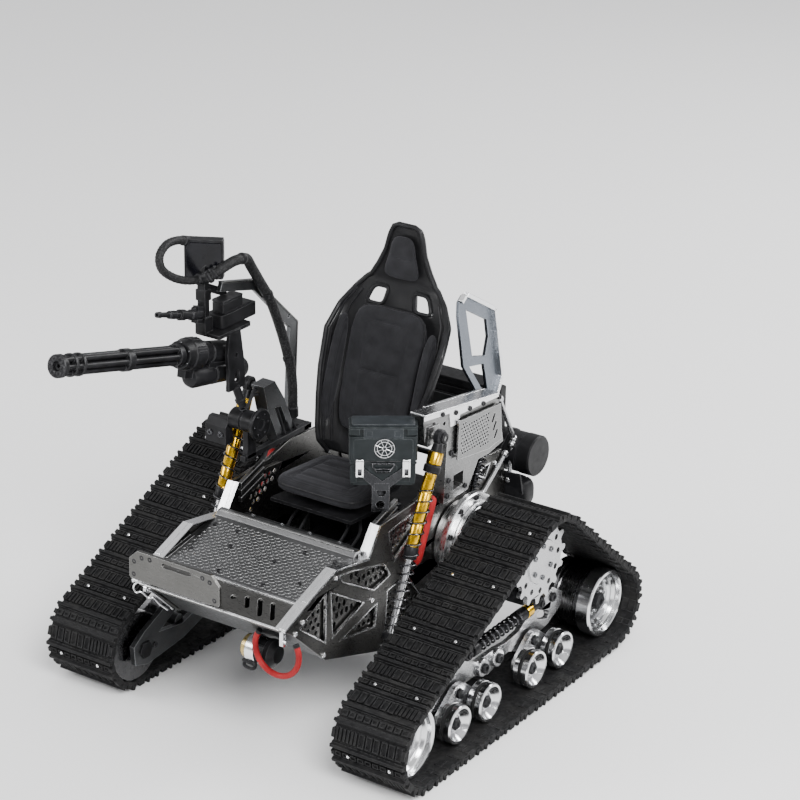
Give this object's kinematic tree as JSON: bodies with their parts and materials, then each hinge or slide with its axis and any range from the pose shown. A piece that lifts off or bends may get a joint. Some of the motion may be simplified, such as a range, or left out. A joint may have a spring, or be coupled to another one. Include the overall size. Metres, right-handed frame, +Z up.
{
  "type": "tracked tank chassis",
  "caption": "Small-scale one-seat tracked chassis with triangular track pods on driven hubs, tread-plate footplate, bucket seat, coil-over dampers and a side turret arm.",
  "frame": {"origin": "middle of the bounding box on the ground the tracks stand on", "axes": "+Z up, -Y towards the footplate (forward), +X to the occupant's left"},
  "size_m": [0.23, 0.2828, 0.247],
  "materials": {
    "aluminium": "brushed and polished bare metal",
    "polished": "bright polished metal",
    "gunmetal": "dark grey satin paint with bare edges",
    "black_metal": "black anodised, satin",
    "rubber": "matt black moulded rubber",
    "gold": "gold anodised, glossy",
    "spring_steel": "black lacquered wire",
    "green_grey": "dark green grey satin paint",
    "black_plastic": "moulded, fine grain",
    "seat_fabric": "black woven upholstery",
    "brass": "satin",
    "red_webbing": "woven webbing"
  },
  "bodies": {
    "root": {"side_truss_left": "gunmetal", "hub_flange_left": "polished", "side_truss_right": "gunmetal", "hub_flange_right": "polished", "upper_side_plate_left": "aluminium", "shock_bracket_right": "aluminium", "floor_pan": "gunmetal", "footplate": "aluminium", "front_panel": "gunmetal", "bumper_plate": "aluminium", "gear_case": "black_metal", "battery_pack": "black_plastic", "seat_base": "black_metal", "rear_frame": "aluminium", "rear_canister": "black_metal", "electronics_box": "black_plastic", "winch_motor": "black_metal", "tow_strap": "red_webbing", "seat_shell": "black_plastic", "seat_back_pad": "seat_fabric", "seat_bolster_left": "seat_fabric", "seat_bolster_right": "seat_fabric", "seat_cushion": "seat_fabric", "ammo_box": "green_grey", "turret_arm": "black_metal", "turret_hose": "black_plastic"},
    "pod_left": {"pod_frame_left": "polished", "track_belt_left": "rubber"},
    "sprocket_left": {"sprocket_left": "polished"},
    "idler_front_left": {"idler_front_left": "polished"},
    "idler_rear_left": {"idler_rear_left": "polished"},
    "bogie_front_left": {"bogie_front_left": "aluminium"},
    "bogie_rear_left": {"bogie_rear_left": "aluminium"},
    "road_wheel_1_left": {"road_wheel_1_left": "polished"},
    "road_wheel_2_left": {"road_wheel_2_left": "polished"},
    "road_wheel_3_left": {"road_wheel_3_left": "polished"},
    "road_wheel_4_left": {"road_wheel_4_left": "polished"},
    "shock_body_left": {"shock_body_left": "gold", "shock_spring_left": "spring_steel"},
    "shock_shaft_left": {"shock_shaft_left": "polished"},
    "pod_right": {"pod_frame_right": "polished", "track_belt_right": "rubber"},
    "sprocket_right": {"sprocket_right": "polished"},
    "idler_front_right": {"idler_front_right": "polished"},
    "idler_rear_right": {"idler_rear_right": "polished"},
    "bogie_front_right": {"bogie_front_right": "aluminium"},
    "bogie_rear_right": {"bogie_rear_right": "aluminium"},
    "road_wheel_1_right": {"road_wheel_1_right": "polished"},
    "road_wheel_2_right": {"road_wheel_2_right": "polished"},
    "road_wheel_3_right": {"road_wheel_3_right": "polished"},
    "road_wheel_4_right": {"road_wheel_4_right": "polished"},
    "shock_body_right": {"shock_body_right": "gold", "shock_spring_right": "spring_steel"},
    "shock_shaft_right": {"shock_shaft_right": "polished"},
    "ammo_lid": {"ammo_lid": "green_grey"},
    "ammo_latch_1": {"ammo_latch_1": "polished"},
    "ammo_latch_2": {"ammo_latch_2": "polished"},
    "turret": {"turret_post": "black_metal"},
    "gun_cradle": {"gun_cradle": "black_metal"},
    "gun_barrels": {"gun_barrels": "black_metal"}
  },
  "joints": [
    {"name": "pod_pitch_left", "type": "hinge", "parent": "root", "child": "pod_left", "pos_m": [0.085, 0.0483, 0.0782], "axis": [1, 0, 0], "range_deg": [-5, 5], "stiffness_Nm_per_rad": 30},
    {"name": "sprocket_spin_left", "type": "hinge", "parent": "pod_left", "child": "sprocket_left", "pos_m": [0.09, 0.0483, 0.0782], "axis": [1, 0, 0], "continuous": true},
    {"name": "idler_front_spin_left", "type": "hinge", "parent": "pod_left", "child": "idler_front_left", "pos_m": [0.09, -0.0716, 0.0243], "axis": [1, 0, 0], "continuous": true},
    {"name": "idler_rear_spin_left", "type": "hinge", "parent": "pod_left", "child": "idler_rear_left", "pos_m": [0.09, 0.1171, 0.0262], "axis": [1, 0, 0], "continuous": true},
    {"name": "bogie_front_rock_left", "type": "hinge", "parent": "pod_left", "child": "bogie_front_left", "pos_m": [0.0935, -0.01445, 0.0245], "axis": [1, 0, 0], "range_deg": [-2, 2]},
    {"name": "bogie_rear_rock_left", "type": "hinge", "parent": "pod_left", "child": "bogie_rear_left", "pos_m": [0.0935, 0.059, 0.0245], "axis": [1, 0, 0], "range_deg": [-2, 2]},
    {"name": "road_wheel_1_left_spin", "type": "hinge", "parent": "bogie_front_left", "child": "road_wheel_1_left", "pos_m": [0.1, -0.0289, 0.01585], "axis": [1, 0, 0], "continuous": true},
    {"name": "road_wheel_2_left_spin", "type": "hinge", "parent": "bogie_front_left", "child": "road_wheel_2_left", "pos_m": [0.1, 0, 0.01585], "axis": [1, 0, 0], "continuous": true},
    {"name": "road_wheel_3_left_spin", "type": "hinge", "parent": "bogie_rear_left", "child": "road_wheel_3_left", "pos_m": [0.1, 0.0453, 0.01585], "axis": [1, 0, 0], "continuous": true},
    {"name": "road_wheel_4_left_spin", "type": "hinge", "parent": "bogie_rear_left", "child": "road_wheel_4_left", "pos_m": [0.1, 0.0727, 0.01585], "axis": [1, 0, 0], "continuous": true},
    {"name": "shock_swing_left", "type": "hinge", "parent": "root", "child": "shock_body_left", "pos_m": [0.0614, 0.0132, 0.1504], "axis": [1, 0, 0], "range_deg": [-2.8, 2.8]},
    {"name": "shock_stroke_left", "type": "slide", "parent": "shock_body_left", "child": "shock_shaft_left", "axis": [0, -0.4063, -0.9137], "range_m": [-0.0055, 0.0055], "deforming": ["shock_spring_left"]},
    {"name": "pod_pitch_right", "type": "hinge", "parent": "root", "child": "pod_right", "pos_m": [-0.085, 0.0483, 0.0782], "axis": [1, 0, 0], "range_deg": [-5, 5], "stiffness_Nm_per_rad": 30},
    {"name": "sprocket_spin_right", "type": "hinge", "parent": "pod_right", "child": "sprocket_right", "pos_m": [-0.09, 0.0483, 0.0782], "axis": [1, 0, 0], "continuous": true},
    {"name": "idler_front_spin_right", "type": "hinge", "parent": "pod_right", "child": "idler_front_right", "pos_m": [-0.09, -0.0716, 0.0243], "axis": [1, 0, 0], "continuous": true},
    {"name": "idler_rear_spin_right", "type": "hinge", "parent": "pod_right", "child": "idler_rear_right", "pos_m": [-0.09, 0.1171, 0.0262], "axis": [1, 0, 0], "continuous": true},
    {"name": "bogie_front_rock_right", "type": "hinge", "parent": "pod_right", "child": "bogie_front_right", "pos_m": [-0.0935, -0.01445, 0.0245], "axis": [1, 0, 0], "range_deg": [-2, 2]},
    {"name": "bogie_rear_rock_right", "type": "hinge", "parent": "pod_right", "child": "bogie_rear_right", "pos_m": [-0.0935, 0.059, 0.0245], "axis": [1, 0, 0], "range_deg": [-2, 2]},
    {"name": "road_wheel_1_right_spin", "type": "hinge", "parent": "bogie_front_right", "child": "road_wheel_1_right", "pos_m": [-0.1, -0.0289, 0.01585], "axis": [1, 0, 0], "continuous": true},
    {"name": "road_wheel_2_right_spin", "type": "hinge", "parent": "bogie_front_right", "child": "road_wheel_2_right", "pos_m": [-0.1, 0, 0.01585], "axis": [1, 0, 0], "continuous": true},
    {"name": "road_wheel_3_right_spin", "type": "hinge", "parent": "bogie_rear_right", "child": "road_wheel_3_right", "pos_m": [-0.1, 0.0453, 0.01585], "axis": [1, 0, 0], "continuous": true},
    {"name": "road_wheel_4_right_spin", "type": "hinge", "parent": "bogie_rear_right", "child": "road_wheel_4_right", "pos_m": [-0.1, 0.0727, 0.01585], "axis": [1, 0, 0], "continuous": true},
    {"name": "shock_swing_right", "type": "hinge", "parent": "root", "child": "shock_body_right", "pos_m": [-0.0614, 0.0132, 0.1504], "axis": [1, 0, 0], "range_deg": [-2.8, 2.8]},
    {"name": "shock_stroke_right", "type": "slide", "parent": "shock_body_right", "child": "shock_shaft_right", "axis": [0, -0.4063, -0.9137], "range_m": [-0.0055, 0.0055], "deforming": ["shock_spring_right"]},
    {"name": "ammo_lid_hinge", "type": "hinge", "parent": "root", "child": "ammo_lid", "pos_m": [0.03513, -0.00059, 0.1413], "axis": [-0.8039, -0.5948, 0], "range_deg": [0, 55]},
    {"name": "ammo_latch_1_swing", "type": "hinge", "parent": "root", "child": "ammo_latch_1", "pos_m": [0.03451, -0.01983, 0.1326], "axis": [0.8039, 0.5948, 0], "range_deg": [0, 80]},
    {"name": "ammo_latch_2_swing", "type": "hinge", "parent": "root", "child": "ammo_latch_2", "pos_m": [0.05372, -0.00562, 0.1326], "axis": [0.8039, 0.5948, 0], "range_deg": [0, 80]},
    {"name": "turret_yaw", "type": "hinge", "parent": "root", "child": "turret", "pos_m": [-0.051, -0.006, 0.145], "axis": [0, 0, 1], "range_deg": [-18, 18]},
    {"name": "gun_pitch", "type": "hinge", "parent": "turret", "child": "gun_cradle", "pos_m": [-0.062, -0.0095, 0.176], "axis": [1, 0, 0], "range_deg": [-2, 10]},
    {"name": "gun_barrel_spin", "type": "hinge", "parent": "gun_cradle", "child": "gun_barrels", "pos_m": [-0.062, -0.08, 0.19384], "axis": [0, -0.9694, 0.2453], "continuous": true}
  ],
  "couplings": [
    {"joint": "idler_front_spin_left", "follows": "sprocket_spin_left", "ratio": 1.2436},
    {"joint": "idler_rear_spin_left", "follows": "sprocket_spin_left", "ratio": 1.2436},
    {"joint": "road_wheel_1_left_spin", "follows": "sprocket_spin_left", "ratio": 2.1778},
    {"joint": "road_wheel_2_left_spin", "follows": "sprocket_spin_left", "ratio": 2.1778},
    {"joint": "road_wheel_3_left_spin", "follows": "sprocket_spin_left", "ratio": 2.1778},
    {"joint": "road_wheel_4_left_spin", "follows": "sprocket_spin_left", "ratio": 2.1778},
    {"joint": "shock_swing_left", "follows": "pod_pitch_left", "ratio": 0.55298},
    {"joint": "shock_stroke_left", "follows": "pod_pitch_left", "m_per_rad": 0.061407},
    {"joint": "idler_front_spin_right", "follows": "sprocket_spin_right", "ratio": 1.2436},
    {"joint": "idler_rear_spin_right", "follows": "sprocket_spin_right", "ratio": 1.2436},
    {"joint": "road_wheel_1_right_spin", "follows": "sprocket_spin_right", "ratio": 2.1778},
    {"joint": "road_wheel_2_right_spin", "follows": "sprocket_spin_right", "ratio": 2.1778},
    {"joint": "road_wheel_3_right_spin", "follows": "sprocket_spin_right", "ratio": 2.1778},
    {"joint": "road_wheel_4_right_spin", "follows": "sprocket_spin_right", "ratio": 2.1778},
    {"joint": "shock_swing_right", "follows": "pod_pitch_right", "ratio": 0.55298},
    {"joint": "shock_stroke_right", "follows": "pod_pitch_right", "m_per_rad": 0.061407}
  ]
}
